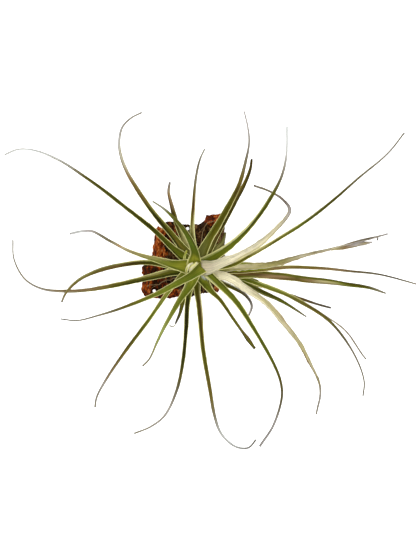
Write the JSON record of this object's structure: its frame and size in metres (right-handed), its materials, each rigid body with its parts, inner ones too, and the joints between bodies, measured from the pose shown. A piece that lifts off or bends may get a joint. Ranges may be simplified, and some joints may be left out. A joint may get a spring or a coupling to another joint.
{
  "type": "tillandsia purpurea",
  "caption": "Air plant with a rosette of narrow arching leaves, green and dry, rooted on a flat-backed slab of bark that it lies on.",
  "frame": {"origin": "on the flat back of the bark, straight below the middle of the leaf rosette", "axes": "+Z out of the bark towards the crown of the plant, +Y along the grain of the bark, +X to the right of someone who looks at the crown"},
  "size_m": [0.3334, 0.2695, 0.1104],
  "materials": {
    "leaf_young": "satin",
    "leaf_fresh": "satin",
    "leaf_green": "satin",
    "leaf_olive": "satin",
    "leaf_dry": "matte",
    "stem": "matte",
    "bark": "matte"
  },
  "bodies": {
    "root": {"bark": "bark", "dry_leaf_1": "leaf_dry", "dry_leaf_2": "leaf_dry", "dry_leaf_3": "leaf_dry", "dry_leaf_4": "leaf_dry", "dry_leaf_5": "leaf_dry", "heart_leaf_1": "leaf_young", "heart_leaf_2": "leaf_young", "leaf_01": "leaf_fresh", "leaf_02": "leaf_fresh", "leaf_03": "leaf_fresh", "leaf_04": "leaf_green", "leaf_05": "leaf_fresh", "leaf_06": "leaf_fresh", "leaf_07": "leaf_olive", "leaf_08": "leaf_fresh", "leaf_09": "leaf_green", "leaf_10": "leaf_olive", "leaf_11": "leaf_olive", "leaf_12": "leaf_olive", "leaf_13": "leaf_green", "leaf_14": "leaf_green", "leaf_15": "leaf_olive", "leaf_16": "leaf_olive", "leaf_17": "leaf_green", "leaf_18": "leaf_olive", "leaf_19": "leaf_olive", "leaf_20": "leaf_olive", "leaf_21": "leaf_green", "leaf_22": "leaf_olive", "leaf_23": "leaf_green", "leaf_24": "leaf_green", "leaf_25": "leaf_green", "leaf_26": "leaf_green", "leaf_27": "leaf_olive", "stem": "stem"}
  },
  "joints": []
}
